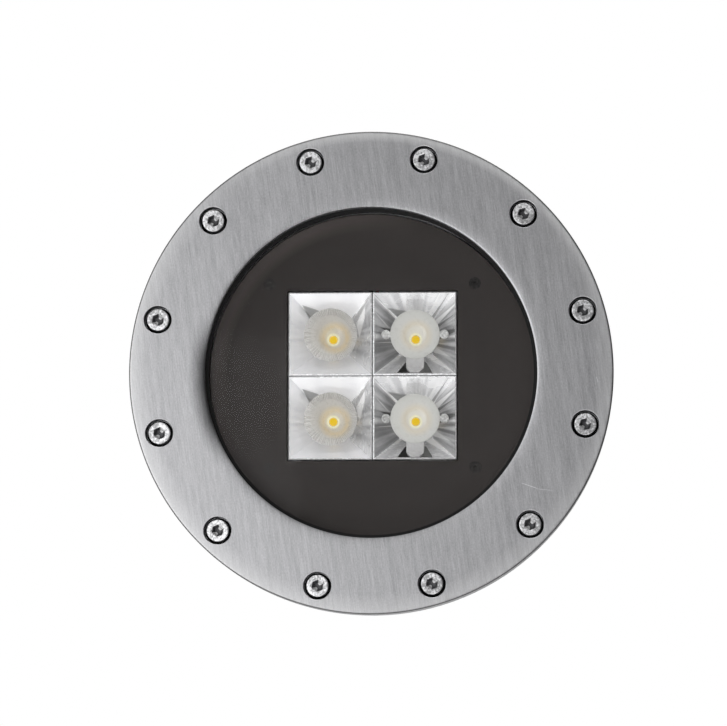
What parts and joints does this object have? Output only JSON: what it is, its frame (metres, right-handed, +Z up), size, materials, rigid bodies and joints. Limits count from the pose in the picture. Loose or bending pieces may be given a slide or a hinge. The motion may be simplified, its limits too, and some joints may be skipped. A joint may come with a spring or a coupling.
{
  "type": "recessed underwater light",
  "caption": "Round underwater light for a wall niche: steel pot, screwed front ring, thick glass and LEDs in square reflectors.",
  "frame": {"origin": "on the light's axis, in the plane of the flange's rear face, where it meets the wall", "axes": "-Y out of the light's face, +Y into the wall niche, +Z up, +X to the right seen from the front"},
  "size_m": [0.22, 0.1333, 0.22],
  "materials": {
    "brushed_steel": "fine near-vertical brushing, satin, a few light scratches",
    "turned_steel": "fine turning marks, satin",
    "screw_steel": "bright stainless steel with a knurled edge",
    "black_rubber": "matt black silicone rubber",
    "glass": "clear toughened glass, polished",
    "mask_paint": "matt dark brown-grey paint",
    "black_screws": "blackened steel",
    "brass": "plain machined brass",
    "reflector_plating": "vacuum-plated plastic, slightly uneven mirror",
    "lens_plastic": "frosted clear acrylic",
    "led_ceramic": "white ceramic",
    "phosphor": "yellow phosphor under clear silicone",
    "white_board": "white solder mask on an aluminium board",
    "green_board": "green solder mask on glass-fibre board",
    "pad_silicone": "soft grey silicone pad",
    "aluminium": "turned aluminium",
    "ferrite": "dark grey ferrite",
    "copper_wire": "enamelled copper",
    "capacitor_sleeve": "dark blue shrink sleeve",
    "black_plastic": "moulded black plastic",
    "green_plastic": "moulded green plastic",
    "white_plastic": "moulded white nylon",
    "red_insulation": "red silicone insulation",
    "black_insulation": "black silicone insulation"
  },
  "bodies": {
    "light": {"front_ring": "brushed_steel", "ring_screws": "screw_steel", "mounting_screws": "screw_steel", "screw_washers": "black_rubber", "cover_glass": "glass", "glass_gasket": "black_rubber", "housing_flange": "turned_steel", "housing_pot": "turned_steel", "mask_plate": "mask_paint", "mask_screws": "black_screws", "mask_standoffs": "brass", "reflector_upper_left": "reflector_plating", "reflector_upper_right": "reflector_plating", "reflector_lower_left": "reflector_plating", "reflector_lower_right": "reflector_plating", "lens_upper_left": "lens_plastic", "lens_upper_right": "lens_plastic", "lens_lower_left": "lens_plastic", "lens_lower_right": "lens_plastic", "led_base_upper_left": "led_ceramic", "led_base_upper_right": "led_ceramic", "led_base_lower_left": "led_ceramic", "led_base_lower_right": "led_ceramic", "led_phosphor_upper_left": "phosphor", "led_phosphor_upper_right": "phosphor", "led_phosphor_lower_left": "phosphor", "led_phosphor_lower_right": "phosphor", "led_board": "white_board", "led_board_screws": "screw_steel", "led_board_socket": "black_plastic", "thermal_pad": "pad_silicone", "heat_sink": "aluminium", "heat_sink_screws": "screw_steel", "heat_sink_pillars": "brass", "driver_board": "green_board", "driver_spacers": "brass", "driver_screws": "screw_steel", "inductor_core": "ferrite", "inductor_winding": "copper_wire", "capacitors": "capacitor_sleeve", "driver_chips": "black_plastic", "terminal_block": "green_plastic", "terminal_screws": "screw_steel", "output_socket": "white_plastic", "led_wire_red": "red_insulation", "led_wire_black": "black_insulation", "wire_grommet": "black_rubber", "gland_body": "turned_steel", "gland_seal": "black_rubber", "gland_locknut": "turned_steel", "gland_o_ring": "black_rubber"},
    "gland_ring": {"gland_thrust_ring": "white_plastic"},
    "gland_cap": {"gland_nut": "turned_steel"}
  },
  "joints": [
    {"name": "gland_travel", "type": "slide", "parent": "light", "child": "gland_ring", "axis": [0, 1, 0], "range_m": [0, 0.003]},
    {"name": "gland_turn", "type": "hinge", "parent": "gland_ring", "child": "gland_cap", "pos_m": [0, 0.1, -0.057], "axis": [0, 1, 0], "range_deg": [0, 720]}
  ],
  "couplings": [
    {"joint": "gland_travel", "follows": "gland_turn", "m_per_rad": 0.00023873}
  ]
}
